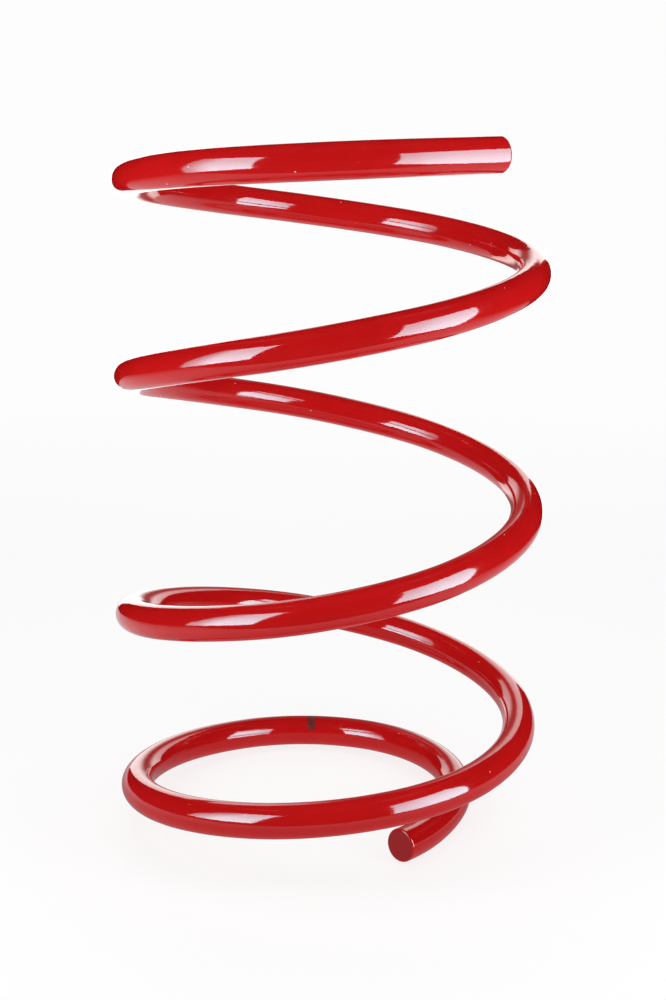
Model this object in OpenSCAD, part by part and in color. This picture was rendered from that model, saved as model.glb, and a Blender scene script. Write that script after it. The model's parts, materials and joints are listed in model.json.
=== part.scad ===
// Coil spring for a suspension strut, with a pigtail at the lower end.
//
// The bar is drawn as a chain of short circular arcs. Two neighbouring arcs share one cross-section
// and one direction there, and each arc is rolled a little about that direction against the last one,
// which is what turns flat arcs into a coil. A spring shortens by that roll changing, so every second
// shared section between the two seats is also a twist joint. Each arc is a node of its own.
//
// Coil angles count up the bar, in degrees about the coil's axis, with 0 on the right side (+X) of the
// first coil, 270 at its front (-Y) and 360 on the right side of the second coil. +Z is the coil's axis.

/* [Bar] */
// Diameter of the bar
wire_d = 12; // [10:0.5:14]
// Bevel around each cut end of the bar
cut_bevel = 0.5; // [0.2:0.1:1]

/* [Coils] */
// Radius from the coil's axis to the middle of the bar
coil_radius = 73.5; // [68:0.5:80]
// Rise for each turn of the working coils
body_pitch = 89; // [80:1:95]

/* [Lower end] */
// Length of the lower end piece
lower_end_length = 36.8; // [30:0.2:42]
// Turn of the lower end piece, seen from above: less than the coils' own, so the end runs out straighter
lower_end_turn = 19.5; // [8:0.5:34]
// Slope of the bar at the lower cut; the cut end lifts a little where this is below zero
lower_end_slope = -4; // [-6:0.5:8]
// Rise for each turn of the lowest coil
lower_pitch = 37; // [32:1:42]
// Coil angle at which the lowest coil starts to open
lower_pitch_end = 315; // [300:5:330]
// Coil angle at which the full pitch is reached
body_start = 465; // [450:5:490]
// Coil angle down to which the coils keep their full radius
pigtail_start = 270; // [255:5:285]
// Loss of bend radius for each turn of the pigtail
pigtail_shrink = 25; // [20:1:28]
// Lean of the lower seat against the coil's axis
seat_lean = 5.5; // [4:0.5:7]
// Coil angle of the high side of the leaning seat
lean_direction = -26; // [-35:1:-15]
// Coil angle at which the lean starts to fade out
lean_end = 202.5; // [190:2.5:215]
// Coil angle at which the lean is gone
lean_gone = 292.5; // [280:2.5:305]

/* [Upper end] */
// Coil angle at which the full pitch ends
body_end = 1000; // [980:5:1020]
// Coil angle at which the upper seat's pitch is reached
upper_pitch_start = 1360; // [1340:5:1370]
// Rise for each turn at the upper seat
upper_pitch = 22; // [18:1:26]
// Length of the upper end piece
upper_end_length = 29.6; // [24:0.2:36]
// Turn of the upper end piece, seen from above
upper_end_turn = 7.5; // [3:0.5:25]

/* [Hidden] */
$fn = 96;
wire_r = wire_d / 2;
// one arc spans this much of a turn, and arcs meet at first_section plus whole arcs
arcs_per_turn = 8;
arc_turn = 360 / arcs_per_turn;
first_section = -arc_turn / 2;
// the parting line between two arcs, so that neighbouring solids touch nowhere
parting = 0.04;
// a section high up in the working coils, which fixes where the coil's axis is
reference_section = 24;
paint_red = [0.74, 0.03, 0.05];

CLOCK = ["right", "back_right", "back", "back_left", "left", "front_left", "front", "front_right"];
COILS = 4;
// the lower end piece, then the arcs of each coil in turn, then the upper end piece
ARC_NAMES = [
    for (coil = [1 : COILS], place = [0 : arcs_per_turn - 1])
        if (coil < COILS || place < arcs_per_turn - 1) str("coil_", coil, "_", CLOCK[place])
];
NODES = concat(["lower_end"], ARC_NAMES, ["upper_end"]);
last_arc = len(NODES) - 1;

function ramp(angle, from, to) = min(max((angle - from) / (to - from), 0), 1);
function smooth(t) = t * t * (3 - 2 * t);
function mix(a, b, t) = a + (b - a) * t;

// sections 0 and last_arc + 1 are the two cuts, which the end pieces reach by turning less than a whole arc
function section_angle(k) =
    k == 0 ? first_section - lower_end_turn
    : k == last_arc + 1 ? first_section + (k - 2) * arc_turn + upper_end_turn
    : first_section + (k - 1) * arc_turn;

// how far the bar climbs for each millimetre that it goes round, at a coil angle
function climb(angle) =
    let (lower = mix(lower_pitch, body_pitch, ramp(angle, lower_pitch_end, body_start)))
    let (pitch = mix(lower, upper_pitch, ramp(angle, body_end, upper_pitch_start)))
    let (lean_share = smooth(1 - ramp(angle, lean_end, lean_gone)))
    pitch / (2 * arcs_per_turn * coil_radius * tan(arc_turn / 2))
        - tan(seat_lean) * sin(angle - lean_direction) * lean_share;

function slope(k) = k == 0 ? lower_end_slope : atan(climb(section_angle(k)));

// direction of the bar at section k, pointing up the bar
function along(k) =
    let (heading = section_angle(k) + 90)
    [cos(slope(k)) * cos(heading), cos(slope(k)) * sin(heading), sin(slope(k))];

// radius of arc k as seen from above, and the angle that it turns through in its own plane
function plan_radius(k) =
    coil_radius - pigtail_shrink / 360 * max(pigtail_start - section_angle(k) - arc_turn / 2, 0);
function turn(k) = acos(along(k) * along(k + 1));
function bend_for_length(k, length) = length / turn(k) * 180 / PI;
function bend_radius(k) =
    k == 0 ? bend_for_length(k, lower_end_length)
    : k == last_arc ? bend_for_length(k, upper_end_length)
    : plan_radius(k) * tan(arc_turn / 2) / tan(turn(k) / 2) * 2 / (cos(slope(k)) + cos(slope(k + 1)));

// from section k to section k + 1
function chord(k) = bend_radius(k) * tan(turn(k) / 2) * (along(k) + along(k + 1));

CHAIN = [
    for (k = 0, p = [0, 0, 0]; k <= last_arc + 1; p = p + chord(k), k = k + 1) p
];

function unit(v) = v / norm(v);
// the three axes of arc k's own frame: outwards at its start, along the bar, and square to its plane
function normal(k) = unit(cross(along(k), along(k + 1)));
function outward(k) = cross(along(k), normal(k));

// a point on arc k's centre line before the chain is moved onto the axis
function chain_point(k, t) =
    CHAIN[k] + bend_radius(k) * ((cos(t) - 1) * outward(k) + sin(t) * along(k));

// the lowest the bar reaches, over points a few degrees apart on the first coil
LOWEST = min([
    for (k = [0 : arcs_per_turn], t = [0 : 1 : turn(k)])
        chain_point(k, t)[2] - wire_r * cos(slope(k))
]);
REFERENCE_ANGLE = section_angle(reference_section);
AXIS_SHIFT = [
    coil_radius * cos(REFERENCE_ANGLE) - CHAIN[reference_section][0],
    coil_radius * sin(REFERENCE_ANGLE) - CHAIN[reference_section][1],
    -LOWEST
];

// places a shape that is drawn around the origin at the middle of arc k's own bend circle
module in_arc_frame(k) {
    out = outward(k);
    dir = along(k);
    up = normal(k);
    middle = CHAIN[k] + AXIS_SHIFT - bend_radius(k) * out;
    multmatrix([
        [out[0], dir[0], up[0], middle[0]],
        [out[1], dir[1], up[1], middle[1]],
        [out[2], dir[2], up[2], middle[2]],
        [0, 0, 0, 1]
    ]) children();
}

// the length of bar of arc k between two angles in its own plane
module bent_bar(k, from, to) {
    rotate([0, 0, from])
        rotate_extrude(angle = to - from)
            translate([bend_radius(k), 0])
                circle(r = wire_r);
}

// what a cut's bevel takes off: a ring around the bar's end, which lies at z = 0 and faces +Z. The ring's
// sloping side runs on past both the bar's skin and its cut face
module bevel_waste() {
    reach = 3 * cut_bevel;
    rotate_extrude()
        polygon([
            [wire_r + reach, -cut_bevel - reach],
            [wire_r + reach, reach - cut_bevel],
            [wire_r - reach, reach - cut_bevel]
        ]);
}

// stands a shape in arc k's own plane at an angle, facing up the bar where way is 1, or down it where -1
module at_cut(k, angle, way) {
    rotate([0, 0, angle])
        translate([bend_radius(k), 0, 0])
            rotate([-90 * way, 0, 0])
                children();
}

// degrees of arc k's own plane that a length of bar takes up
function span(k, length) = length / bend_radius(k) * 180 / PI;

// one length of the bar, which is one node
module bar_length(k) {
    half_parting = span(k, parting / 2);
    from = k == 0 ? 0 : half_parting;
    to = k == last_arc ? turn(k) : turn(k) - half_parting;
    in_arc_frame(k) {
        difference() {
            bent_bar(k, from, to);
            if (k == 0) at_cut(k, from, -1) bevel_waste();
            if (k == last_arc) at_cut(k, to, 1) bevel_waste();
        }
    }
}

module painted_bar(k) {
    color(paint_red) bar_length(k);
}

for (k = [0 : last_arc]) {
    painted_bar(k);
}
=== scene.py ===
"""A coil spring in thick glossy red powder coat, on a plain white floor.

Each length of bar is a node of the CAD frame. Its two flat ends give the arc between them, and a new
length of bar is lofted along that arc, with the slow waves of a thick coat and a radius at each cut edge.
Everything is in metres, in the frame's own axes: +Z up the coils, -Y towards the camera.
"""

import json
import math

import bpy
import numpy as np
from mathutils import Matrix, Vector


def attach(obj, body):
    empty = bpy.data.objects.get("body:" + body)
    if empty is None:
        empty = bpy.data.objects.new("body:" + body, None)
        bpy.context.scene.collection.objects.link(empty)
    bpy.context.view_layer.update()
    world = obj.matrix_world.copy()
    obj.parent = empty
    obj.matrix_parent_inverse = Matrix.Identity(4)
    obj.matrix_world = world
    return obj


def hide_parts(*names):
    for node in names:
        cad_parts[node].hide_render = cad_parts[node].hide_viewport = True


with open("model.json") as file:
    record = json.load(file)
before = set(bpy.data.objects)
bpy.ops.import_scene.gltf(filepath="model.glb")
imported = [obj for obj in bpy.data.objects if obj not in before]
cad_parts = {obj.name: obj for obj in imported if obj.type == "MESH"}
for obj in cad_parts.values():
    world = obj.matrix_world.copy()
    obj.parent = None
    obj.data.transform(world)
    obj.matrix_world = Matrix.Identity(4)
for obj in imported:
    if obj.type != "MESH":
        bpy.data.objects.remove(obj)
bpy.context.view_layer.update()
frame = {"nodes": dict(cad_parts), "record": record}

MM = 0.001
NODES = [part["node"] for part in frame["record"]["subparts"]]
BODY_OF = {
    node: body
    for body, nodes in frame["record"]["behaviour"]["bodies"].items()
    for node in nodes
}

# ---------------------------------------------------------------- the bar's centre line, from the frame


SAME_WAY = 1 - 1e-6
SAME_DEPTH = 0.002 * MM
ARC_SAMPLES = 400


def flat_ends(node):
    """The two flat ends of a node's mesh: (middle, outward direction), the larger first."""
    mesh = frame["nodes"][node].data
    count = len(mesh.polygons)
    normals = np.empty(count * 3)
    middles = np.empty(count * 3)
    areas = np.empty(count)
    mesh.polygons.foreach_get("normal", normals)
    mesh.polygons.foreach_get("center", middles)
    mesh.polygons.foreach_get("area", areas)
    normals = normals.reshape(-1, 3)
    middles = middles.reshape(-1, 3)
    depths = (normals * middles).sum(1)
    ends = []
    left = np.ones(count, bool)
    while len(ends) < 2:
        alike = (normals @ normals.T > SAME_WAY) & (np.abs(depths[:, None] - depths) < SAME_DEPTH)
        total = np.where(left, alike @ np.where(left, areas, 0.0), 0.0)
        group = alike[int(total.argmax())] & left
        weight = areas[group][:, None]
        middle = (middles[group] * weight).sum(0) / weight.sum()
        normal = (normals[group] * weight).sum(0)
        ends.append((middle, normal / np.linalg.norm(normal)))
        left &= ~group
    return ends


def unit(v):
    return v / np.linalg.norm(v)


def bar_sections():
    """Points and directions up the bar where the lengths of bar meet, with the two cut ends."""
    ends = [flat_ends(node) for node in NODES]
    pairs = []
    for below, above in zip(ends, ends[1:]):
        choices = [
            (np.linalg.norm(a[0] - b[0]), i, j)
            for i, a in enumerate(below)
            for j, b in enumerate(above)
        ]
        _, i, j = min(choices)
        pairs.append((i, j))
    first_cut = ends[0][1 - pairs[0][0]]
    last_cut = ends[-1][1 - pairs[-1][1]]
    sections = [(first_cut[0], -first_cut[1])]
    for (i, j), below, above in zip(pairs, ends, ends[1:]):
        point = (below[i][0] + above[j][0]) / 2
        sections.append((point, unit(below[i][1] - above[j][1])))
    sections.append((last_cut[0], last_cut[1]))
    return sections


SECTIONS = bar_sections()


class Arc:
    """The flat circular arc of one length of bar, between two sections."""

    def __init__(self, index):
        (self.start, along), (self.end, along_end) = SECTIONS[index], SECTIONS[index + 1]
        self.along = along
        cross = np.cross(along, along_end)
        self.axis = unit(cross)
        self.turn = math.atan2(np.linalg.norm(cross), float(along @ along_end))
        self.inward = np.cross(self.axis, along)
        self.bend = np.linalg.norm(self.end - self.start) / 2 / math.sin(self.turn / 2)
        self.length = self.bend * self.turn
        # what rounding leaves between the arc's end and the section there, shared out along the arc
        self.slack = np.zeros(3)
        self.slack = self.end - self.at(1.0)[0]

    def at(self, share):
        """Point and direction of the bar a share of the way along."""
        angle = self.turn * share
        point = self.start + self.bend * (
            math.sin(angle) * self.along + (1 - math.cos(angle)) * self.inward
        )
        way = math.cos(angle) * self.along + math.sin(angle) * self.inward
        return point + share * self.slack, way

    def carry(self, side, share):
        """A sideways direction at the start, carried along the arc without rolling about it."""
        angle = self.turn * share
        up = float(side @ self.axis)
        inn = float(side @ self.inward)
        turned = math.cos(angle) * self.inward - math.sin(angle) * self.along
        return up * self.axis + inn * turned


def bar_radius():
    """Half the bar's thickness, from the furthest corner of a middle length from its own arc."""
    node = len(NODES) // 2
    arc = Arc(node)
    mesh = frame["nodes"][NODES[node]].data
    corners = np.empty(len(mesh.vertices) * 3)
    mesh.vertices.foreach_get("co", corners)
    corners = corners.reshape(-1, 3)
    line = np.array([arc.at(t)[0] for t in np.linspace(0, 1, ARC_SAMPLES)])
    gaps = np.linalg.norm(corners[:, None] - line, axis=2).min(1)
    return float(np.round(gaps.max(), 5))


RADIUS = bar_radius()

# ---------------------------------------------------------------- the coat's slow waves

WAVE_SEED = 11
WAVES = 70
WAVE_LENGTHS = (4.5 * MM, 16 * MM)
WAVE_SLOPE = 0.0045


def make_waves():
    """Wave vectors, phases and heights of many small waves that cross each other every way."""
    draw = np.random.default_rng(WAVE_SEED)
    lengths = np.exp(draw.uniform(*np.log(WAVE_LENGTHS), WAVES))
    ways = draw.normal(size=(WAVES, 3))
    ways /= np.linalg.norm(ways, axis=1)[:, None]
    numbers = ways * (2 * math.pi / lengths)[:, None]
    phases = draw.uniform(0, 2 * math.pi, WAVES)
    heights = WAVE_SLOPE * math.sqrt(2 / WAVES) * lengths / (2 * math.pi) * math.sqrt(1.5)
    return numbers, phases, heights


WAVE_NUMBERS, WAVE_PHASES, WAVE_HEIGHTS = make_waves()


def coat(points):
    """Height of the coat's waves above the plain bar, and how that height changes in space."""
    angles = points @ WAVE_NUMBERS.T + WAVE_PHASES
    height = np.sin(angles) @ WAVE_HEIGHTS
    slope = (np.cos(angles) * WAVE_HEIGHTS) @ WAVE_NUMBERS
    return height, slope


# ---------------------------------------------------------------- one length of bar as a mesh

# corners in each ring, and the step between rings
AROUND = 64
ROW_STEP = 1.15 * MM
EDGE_ROUND = 0.8 * MM
EDGE_ROWS = 7
FACE_RINGS = (0.82, 0.65, 0.5, 0.3, 0.12)
SEAM_RINGS = (0.6, 0.2)
SEAM_DISH = 0.4 * MM
# the end rings of two neighbours stop this far short of their shared section, so they never touch
SEAM_GAP = 0.004 * MM
FEWEST_ROWS = 4
TURNS = np.arange(AROUND) * 2 * math.pi / AROUND


class Bar:
    """Rings of corners along one length of bar, with the normal at each corner."""

    def __init__(self):
        self.corners = []
        self.normals = []

    def ring(self, point, way, side, radius, back, lean, waves=1.0):
        """Adds a ring: its radius, how far it is moved along the bar, and its normal's lean that way."""
        other = np.cross(way, side)
        spokes = np.cos(TURNS)[:, None] * side + np.sin(TURNS)[:, None] * other
        nominal = point + back * way + radius * spokes
        height, slope = coat(nominal)
        normal = math.cos(lean) * spokes + math.sin(lean) * way
        normal = normal / np.linalg.norm(normal, axis=1)[:, None]
        across = slope - (slope * normal).sum(1)[:, None] * normal
        bent = normal - waves * across
        self.corners.append(nominal + waves * height[:, None] * normal)
        self.normals.append(bent / np.linalg.norm(bent, axis=1)[:, None])


def cut_rings(way_out):
    """Radius, step along the bar and lean of the rings from a cut's rounded edge in to its middle."""
    rings = []
    for i in range(1, EDGE_ROWS + 1):
        lean = i / EDGE_ROWS * math.pi / 2
        radius = RADIUS - EDGE_ROUND * (1 - math.cos(lean))
        rings.append((radius, -EDGE_ROUND * (1 - math.sin(lean)) * way_out, lean * way_out))
    for share in FACE_RINGS:
        rings.append((RADIUS * share, 0.0, math.pi / 2 * way_out))
    return rings


def seam_rings(way_out):
    """The same for an end that faces the next length of bar: a shallow hidden dish."""
    return [
        (RADIUS * share, -SEAM_DISH * (1 - share) * way_out, math.pi / 2 * way_out)
        for share in SEAM_RINGS
    ]


def build_bar(index, side):
    """One length of bar as a closed mesh. Returns the object and the side direction at its end."""
    node = NODES[index]
    arc = Arc(index)
    first, last = index == 0, index == len(NODES) - 1
    start_share = (EDGE_ROUND if first else SEAM_GAP) / arc.length
    end_share = 1 - (EDGE_ROUND if last else SEAM_GAP) / arc.length
    rows = max(int(round(arc.length / ROW_STEP)), FEWEST_ROWS)
    bar = Bar()
    start_rings = cut_rings(-1) if first else seam_rings(-1)
    end_rings = cut_rings(1) if last else seam_rings(1)
    point, way = arc.at(0.0)
    for radius, back, lean in reversed(start_rings):
        bar.ring(point, way, side, radius, back, lean, 1.0 if first else 0.0)
    for share in np.linspace(start_share, end_share, rows + 1):
        point, way = arc.at(share)
        bar.ring(point, way, arc.carry(side, share), RADIUS, 0.0, 0.0)
    point, way = arc.at(1.0)
    end_side = arc.carry(side, 1.0)
    for radius, back, lean in end_rings:
        bar.ring(point, way, end_side, radius, back, lean, 1.0 if last else 0.0)

    corners = np.concatenate(bar.corners)
    normals = np.concatenate(bar.normals)
    rings = len(bar.corners)
    start_point, start_way = arc.at(0.0)
    tips = [
        start_point + start_way * (0.0 if first else SEAM_DISH),
        point - way * (0.0 if last else SEAM_DISH),
    ]
    corners = np.vstack([corners, tips])
    normals = np.vstack([normals, [-start_way, way]])

    faces = []
    for r in range(rings - 1):
        low, high = r * AROUND, (r + 1) * AROUND
        for c in range(AROUND):
            n = (c + 1) % AROUND
            faces.append((low + c, low + n, high + n, high + c))
    start_tip, end_tip = rings * AROUND, rings * AROUND + 1
    top = (rings - 1) * AROUND
    for c in range(AROUND):
        n = (c + 1) % AROUND
        faces.append((start_tip, n, c))
        faces.append((end_tip, top + c, top + n))

    mesh = bpy.data.meshes.new("bar_" + node)
    mesh.from_pydata([tuple(c) for c in corners], [], faces)
    mesh.validate()
    for polygon in mesh.polygons:
        polygon.use_smooth = True
    mesh.normals_split_custom_set_from_vertices([tuple(n) for n in normals])
    made = bpy.data.objects.new("bar_" + node, mesh)
    bpy.context.scene.collection.objects.link(made)
    return made, end_side


# ---------------------------------------------------------------- materials


class Shading:
    """A material's node tree, with a method for each kind of step. Places are in the object's own axes."""

    def __init__(self, name):
        self.material = bpy.data.materials.new(name)
        self.material.use_nodes = True
        self.tree = self.material.node_tree
        self.tree.nodes.clear()
        self.place = self.node("ShaderNodeTexCoord").outputs["Object"]

    def node(self, kind, inputs=None, **settings):
        """Adds a node. Each input is a number, a vector, a colour or another node's output."""
        made = self.tree.nodes.new(kind)
        for name, value in settings.items():
            setattr(made, name, value)
        for name, value in (inputs or {}).items():
            socket = made.inputs[name]
            if isinstance(value, bpy.types.NodeSocket):
                self.tree.links.new(value, socket)
            elif isinstance(value, (int, float)):
                socket.default_value = value
            else:
                numbers = tuple(float(v) for v in value)
                socket.default_value = (*numbers, 1) if socket.type == "RGBA" else numbers
        return made

    def maths(self, operation, *values):
        return self.node("ShaderNodeMath", dict(enumerate(values)), operation=operation).outputs[0]

    def vector(self, operation, *values, output="Vector"):
        made = self.node("ShaderNodeVectorMath", dict(enumerate(values)), operation=operation)
        return made.outputs[output]

    def length(self, value):
        return self.vector("LENGTH", value, output="Value")

    def step(self, value, start, stop, low=0.0, high=1.0):
        """Goes smoothly from low to high as a value goes from start to stop."""
        limits = {"Value": value, "From Min": start, "From Max": stop, "To Min": low, "To Max": high}
        return self.node("ShaderNodeMapRange", limits, interpolation_type="SMOOTHSTEP").outputs[0]

    def noise(self, scale, detail=2.0, rough=0.5):
        inputs = {"Vector": self.place, "Scale": scale, "Detail": detail, "Roughness": rough}
        return self.node("ShaderNodeTexNoise", inputs).outputs["Fac"]

    def blend(self, share, first, second):
        made = self.node("ShaderNodeMix", {"Factor": share, "A": first, "B": second}, data_type="RGBA")
        return made.outputs["Result"]

    def finish(self, surface):
        self.node("ShaderNodeOutputMaterial", {"Surface": surface})
        return self.material


# ---------------------------------------------------------------- the powder coat

# colours, from the darker to the lighter red of the coat
COAT_REDS = ((0.52, 0.0064, 0.0072), (0.61, 0.0096, 0.0104))
FACE_RED = (0.38, 0.0050, 0.0090)
INK_BLACK = (0.030, 0.028, 0.026)
DUST_PALE = (0.80, 0.72, 0.70)
COAT_INDEX = 1.5

# how many grains of each noise go to a metre
CLOUD_SCALE = 95.0
GLOSS_SCALE = 60.0
PEEL_SCALE = 330.0
FINE_PEEL_SCALE = 900.0
FACE_GRAIN_SCALE = 1400.0
INK_EDGE_SCALE = 700.0
INK_WEAR_SCALE = 1300.0

# heights of the relief: the orange peel, with shares of it for the fine peel and the cut faces' grain
PEEL_HEIGHT = 0.005 * MM
FINE_PEEL_SHARE = 0.25
FACE_GRAIN_SHARE = 2.0

# roughness of the coat and its spread, and what faces, ink and dust add to it
ROUGHNESS = 0.055
ROUGHNESS_SPREAD = 0.05
FACE_ROUGHER = 0.08
INK_ROUGHER = 0.25
DUST_ROUGHER = 0.4

FACE_DEPTH = 0.12 * MM
FACE_REACH = (1.2 * RADIUS, 1.3 * RADIUS)

# the ink dab: where it is along its length of bar and up from the inner side, and its size
INK_NODE = NODES.index("coil_1_back")
INK_SHARE = 0.462
INK_TURN = math.radians(62)
INK_LENGTH = 9.0 * MM
INK_WIDTH = 3.4 * MM
INK_UNEVEN = 2.0 * MM

# specks of dust: cells to a metre, the share of cells left empty, and a speck's radius in cells
DUST_CELLS = 260.0
DUST_EMPTY = 0.86
DUST_RADIUS = 0.055


def face_share(shade):
    """How much of a place is a cut face: within a hair of a cut's plane, and near that end of the bar."""
    shares = []
    for (middle, way), out in ((SECTIONS[0], -1.0), (SECTIONS[-1], 1.0)):
        apart = shade.vector("SUBTRACT", shade.place, middle)
        depth = shade.vector("DOT_PRODUCT", apart, way * out, output="Value")
        near = shade.step(shade.length(apart), *FACE_REACH, 1.0, 0.0)
        level = shade.step(depth, -FACE_DEPTH, -0.5 * FACE_DEPTH)
        shares.append(shade.maths("MULTIPLY", level, near))
    return shade.maths("ADD", *shares)


def ink_place():
    """Where the ink dab is, on the upper side of the bar at the back of the first coil."""
    point, way = Arc(INK_NODE).at(INK_SHARE)
    inward = unit(-np.array([point[0], point[1], 0.0]))
    upward = unit(np.cross(way, inward))
    upward = upward if upward[2] > 0 else -upward
    return point + RADIUS * (math.sin(INK_TURN) * upward + math.cos(INK_TURN) * inward), way


def ink_share(shade):
    """How much of a place is ink: an uneven, worn stroke over the bar."""
    middle, way = ink_place()
    apart = shade.vector("SUBTRACT", shade.place, middle)
    uneven = shade.maths("MULTIPLY_ADD", shade.noise(INK_EDGE_SCALE, 3.0), 2 * INK_UNEVEN, -INK_UNEVEN)
    along = shade.maths("ADD", shade.vector("DOT_PRODUCT", apart, way, output="Value"), uneven)
    across = shade.maths("ABSOLUTE", along)
    stroke = shade.step(across, 0.32 * INK_WIDTH, 0.55 * INK_WIDTH, 1.0, 0.0)
    ends = shade.step(shade.length(apart), 0.38 * INK_LENGTH, 0.56 * INK_LENGTH, 1.0, 0.0)
    worn = shade.step(shade.noise(INK_WEAR_SCALE, 3.0, 0.7), 0.34, 0.54, 0.2, 0.92)
    return shade.maths("MULTIPLY", shade.maths("MULTIPLY", stroke, ends), worn)


def dust_share(shade):
    """How much of a place is dust: a small round speck in a few of many cells."""
    cells = shade.node("ShaderNodeTexVoronoi", {"Scale": DUST_CELLS, "Vector": shade.place})
    draw = shade.node("ShaderNodeSeparateColor", {0: cells.outputs["Color"]}).outputs[0]
    chosen = shade.maths("GREATER_THAN", draw, DUST_EMPTY)
    speck = shade.maths("LESS_THAN", cells.outputs["Distance"], DUST_RADIUS)
    return shade.maths("MULTIPLY", chosen, speck)


def powder_coat():
    """Thick glossy red powder coat, by place on the object at rest."""
    shade = Shading("powder_coat")
    face, ink, dust = face_share(shade), ink_share(shade), dust_share(shade)

    red = shade.blend(shade.noise(CLOUD_SCALE, 3.0), *COAT_REDS)
    for share, colour in ((face, FACE_RED), (ink, INK_BLACK), (dust, DUST_PALE)):
        red = shade.blend(share, red, colour)

    fine = shade.noise(FINE_PEEL_SCALE, 1.0)
    relief = shade.maths("MULTIPLY_ADD", fine, FINE_PEEL_SHARE, shade.noise(PEEL_SCALE, 1.5))
    grain = shade.maths("MULTIPLY", face, shade.noise(FACE_GRAIN_SCALE))
    relief = shade.maths("MULTIPLY_ADD", grain, FACE_GRAIN_SHARE, relief)
    bump = shade.node("ShaderNodeBump", {"Strength": 1.0, "Distance": PEEL_HEIGHT, "Height": relief})

    rough = shade.maths("MULTIPLY_ADD", shade.noise(GLOSS_SCALE, 3.0), ROUGHNESS_SPREAD, ROUGHNESS)
    for share, more in ((face, FACE_ROUGHER), (ink, INK_ROUGHER), (dust, DUST_ROUGHER)):
        rough = shade.maths("MULTIPLY_ADD", share, more, rough)

    paint = {"IOR": COAT_INDEX, "Base Color": red, "Roughness": rough, "Normal": bump.outputs["Normal"]}
    return shade.finish(shade.node("ShaderNodeBsdfPrincipled", paint).outputs[0])


COAT = powder_coat()


def any_side(way):
    """A direction square to the bar, to count a ring's corners from."""
    return unit(np.cross(way, np.array([0.0, 0.0, 1.0])))


side = any_side(SECTIONS[0][1])
for index, node in enumerate(NODES):
    bar, side = build_bar(index, side)
    bar.data.materials.append(COAT)
    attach(bar, BODY_OF[node])
    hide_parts(node)

# ---------------------------------------------------------------- the studio

WHITE = 0.985

# the floor: its rings, how it is lit and glows near the spring, and where that fades to plain white
FLOOR_RINGS = (0.25, 0.5, 0.9, 1.6, 3.0, 9.0)
FLOOR_AROUND = 96
FLOOR_GLOW = 0.82
FLOOR_PAINT = 0.20
FLOOR_FADE = (0.30, 1.10)

SOFTBOX_COLOUR = (0.42, 0.83, 0.93)
SOFTBOX_STRENGTH = 21.0
SOFTBOX_FADE = ("Z", (0.06, 1.0), (0.50, 0.60))
TABLE_COLOUR = (1.0, 0.96, 1.0)
TABLE_STRENGTH = 0.78
BACKDROP_COLOUR = (0.93, 1.0, 0.98)
BACKDROP_STRENGTH = 2.5


def emission(name, colour, strength, fades):
    """A glowing card's material. Each fade is a measure of place (X, Z, "across" for X to either side, or
    "away" from the origin) and two (place, share) pairs. The card's strength is multiplied by a share that
    goes smoothly from the first pair to the second."""
    shade = Shading(name)
    split = shade.node("ShaderNodeSeparateXYZ", {0: shade.place})
    measures = {
        "X": split.outputs["X"],
        "Z": split.outputs["Z"],
        "across": shade.maths("ABSOLUTE", split.outputs["X"]),
        "away": shade.length(shade.place),
    }
    for measure, (start, low), (stop, high) in fades:
        strength = shade.maths("MULTIPLY", shade.step(measures[measure], start, stop, low, high), strength)
    glow = shade.node("ShaderNodeEmission", {"Color": colour, "Strength": strength})
    return shade.finish(glow.outputs[0])


def card(name, middle, right, up, half_width, half_height, material):
    """A flat card seen only in reflections."""
    right, up = unit(np.array(right, float)), unit(np.array(up, float))
    middle = np.array(middle, float)
    corners = [
        middle + x * half_width * right + y * half_height * up
        for x, y in ((-1, -1), (1, -1), (1, 1), (-1, 1))
    ]
    mesh = bpy.data.meshes.new(name)
    mesh.from_pydata([tuple(c) for c in corners], [], [(0, 1, 2, 3)])
    made = bpy.data.objects.new(name, mesh)
    bpy.context.scene.collection.objects.link(made)
    made.data.materials.append(material)
    made.visible_camera = False
    made.visible_diffuse = False
    made.visible_shadow = False
    made.visible_transmission = False
    made.visible_volume_scatter = False


def facing(azimuth):
    """Unit vector away from the axis, and the one to its right seen from the axis, for a compass angle."""
    a = math.radians(azimuth)
    out = np.array([math.sin(a), -math.cos(a), 0.0])
    return out, np.array([-out[1], out[0], 0.0])


def softbox(name, azimuth, away, across, height, half_width, half_height, side_fade):
    """An upright card facing the coil's axis, moved sideways by across. It dims towards its top, and
    towards one side."""
    out, along = facing(azimuth)
    middle = out * away + along * across + np.array([0, 0, height])
    glow = emission(name, SOFTBOX_COLOUR, SOFTBOX_STRENGTH, [SOFTBOX_FADE, side_fade])
    card(name, middle, along, (0, 0, 1), half_width, half_height, glow)


softbox(
    "softbox_left", azimuth=-59, away=0.476, across=0.035, height=0.3136,
    half_width=0.162, half_height=0.250, side_fade=("X", (-0.47, 0.30), (-0.39, 1.0)),
)
softbox(
    "softbox_right", azimuth=63.5, away=0.419, across=-0.113, height=0.2256,
    half_width=0.157, half_height=0.229, side_fade=("X", (0.27, 0.75), (0.34, 1.0)),
)
# The table card glows in place of a lit white table seen in reflections. Its glow dims towards either
# side, and its "away" fade is a painted shadow of the spring: the reflected table is darker near the
# coil's axis.
card(
    "table_card", middle=(0, 0.12, 0.0), right=(1, 0, 0), up=(0, 1, 0), half_width=0.75, half_height=0.31,
    material=emission(
        "table_glow_with_painted_shadow", TABLE_COLOUR, TABLE_STRENGTH,
        # the "away" fade is the painted shadow of the spring on the reflected table
        [("across", (0.24, 1.0), (0.70, 0.0)), ("away", (0.07, 0.40), (0.20, 1.0))],
    ),
)
card(
    "backdrop_card", middle=(0.003, 0.432, 0.1446), right=(1, 0, 0), up=(0, 0, 1),
    half_width=0.233, half_height=0.265,
    material=emission(
        "backdrop_glow", BACKDROP_COLOUR, BACKDROP_STRENGTH, [("across", (0.02, 0.06), (0.13, 1.0))]
    ),
)


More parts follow.
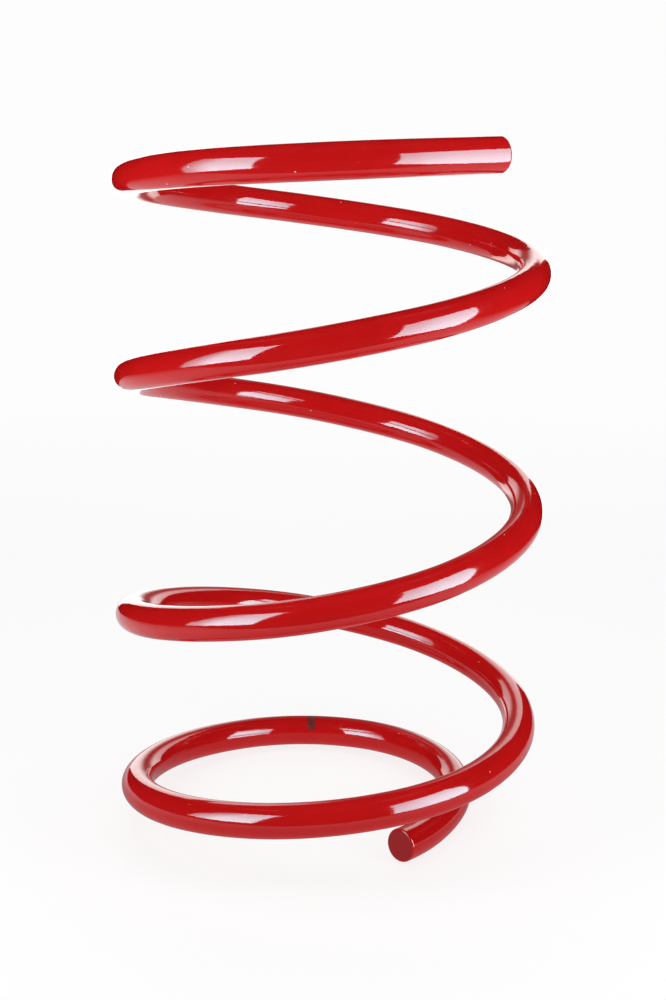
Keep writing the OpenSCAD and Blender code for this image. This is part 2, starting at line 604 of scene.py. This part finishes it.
def floor_paint():
    """Part lit and part glowing near the spring, so its shadow is faint, and plain white further out."""
    shade = Shading("floor")
    lit = shade.node("ShaderNodeBsdfDiffuse", {"Color": (FLOOR_PAINT,) * 3})
    own = shade.node("ShaderNodeEmission", {"Color": (FLOOR_GLOW,) * 3})
    near = shade.node("ShaderNodeAddShader", {0: lit.outputs[0], 1: own.outputs[0]})
    far = shade.node("ShaderNodeEmission", {"Color": (WHITE,) * 3})
    share = shade.step(shade.length(shade.place), *FLOOR_FADE)
    mix = shade.node("ShaderNodeMixShader", {0: share, 1: near.outputs[0], 2: far.outputs[0]})
    return shade.finish(mix.outputs[0])


def build_floor():
    """A round floor, made of rings about the coil's axis."""
    corners, faces = [(0.0, 0.0, 0.0)], []
    around = FLOOR_AROUND
    for radius in FLOOR_RINGS:
        for c in range(around):
            angle = 2 * math.pi * c / around
            corners.append((radius * math.cos(angle), radius * math.sin(angle), 0.0))
    for c in range(around):
        n = (c + 1) % around
        faces.append((0, 1 + c, 1 + n))
        for r in range(len(FLOOR_RINGS) - 1):
            low, high = 1 + r * around, 1 + (r + 1) * around
            faces.append((low + c, high + c, high + n, low + n))
    mesh = bpy.data.meshes.new("floor")
    mesh.from_pydata(corners, [], faces)
    made = bpy.data.objects.new("floor", mesh)
    bpy.context.scene.collection.objects.link(made)
    made.visible_glossy = False
    made.data.materials.append(floor_paint())


build_floor()

world = bpy.data.worlds.new("studio")
bpy.context.scene.world = world
world.use_nodes = True
world.node_tree.nodes["Background"].inputs["Color"].default_value = (1, 1, 1, 1)
world.node_tree.nodes["Background"].inputs["Strength"].default_value = WHITE
world.cycles_visibility.glossy = False
world.cycles_visibility.diffuse = False


LIGHTS_AIM = Vector((0, 0, 0.12))


def soft_light(name, place, width, tall, power):
    """A soft light for the paint's own colour. The cards give the reflections."""
    data = bpy.data.lights.new(name, "AREA")
    data.shape = "RECTANGLE"
    data.size = width
    data.size_y = tall
    data.energy = power
    light = bpy.data.objects.new(name, data)
    bpy.context.scene.collection.objects.link(light)
    light.location = Vector(place)
    towards = LIGHTS_AIM - light.location
    light.rotation_mode = "QUATERNION"
    light.rotation_quaternion = towards.to_track_quat("-Z", "Y")
    light.visible_glossy = False
    light.visible_camera = False


soft_light("soft_left", place=(-0.41, -0.24, 0.32), width=0.32, tall=0.50, power=1.40)
soft_light("soft_right", place=(0.40, -0.25, 0.30), width=0.32, tall=0.50, power=1.40)
soft_light("soft_top", place=(0.0, 0.0, 1.30), width=1.3, tall=1.3, power=8.0)
soft_light("soft_back", place=(0.0, 0.90, 0.50), width=0.9, tall=0.6, power=2.2)

# ---------------------------------------------------------------- the camera

CAMERA_PLACE = Vector((0.0, -0.554, 0.2444))
CAMERA_PITCH = math.radians(-9.99)
CAMERA_ROLL = math.radians(0.764)
CAMERA_LENS = 54.50
CAMERA_SHIFT = (0.0033, -0.0661)
CAMERA_CLIP = (0.02, 40.0)


def build_camera():
    """The camera on the -Y side, pitched down, then rolled about its own line of sight."""
    forward = Vector((0, math.cos(CAMERA_PITCH), math.sin(CAMERA_PITCH)))
    level_up = Vector((0, -math.sin(CAMERA_PITCH), math.cos(CAMERA_PITCH)))
    level_right = Vector((1, 0, 0))
    right = level_right * math.cos(CAMERA_ROLL) + level_up * math.sin(CAMERA_ROLL)
    up = -level_right * math.sin(CAMERA_ROLL) + level_up * math.cos(CAMERA_ROLL)

    data = bpy.data.cameras.new("camera")
    data.sensor_width = 36.0
    data.lens = CAMERA_LENS
    data.shift_x, data.shift_y = CAMERA_SHIFT
    data.clip_start, data.clip_end = CAMERA_CLIP
    camera = bpy.data.objects.new("camera", data)
    bpy.context.scene.collection.objects.link(camera)
    turn = Matrix((right, up, -forward)).transposed()
    camera.matrix_world = Matrix.Translation(CAMERA_PLACE) @ turn.to_4x4()
    bpy.context.scene.camera = camera


build_camera()
bpy.context.scene.view_settings.view_transform = "Standard"
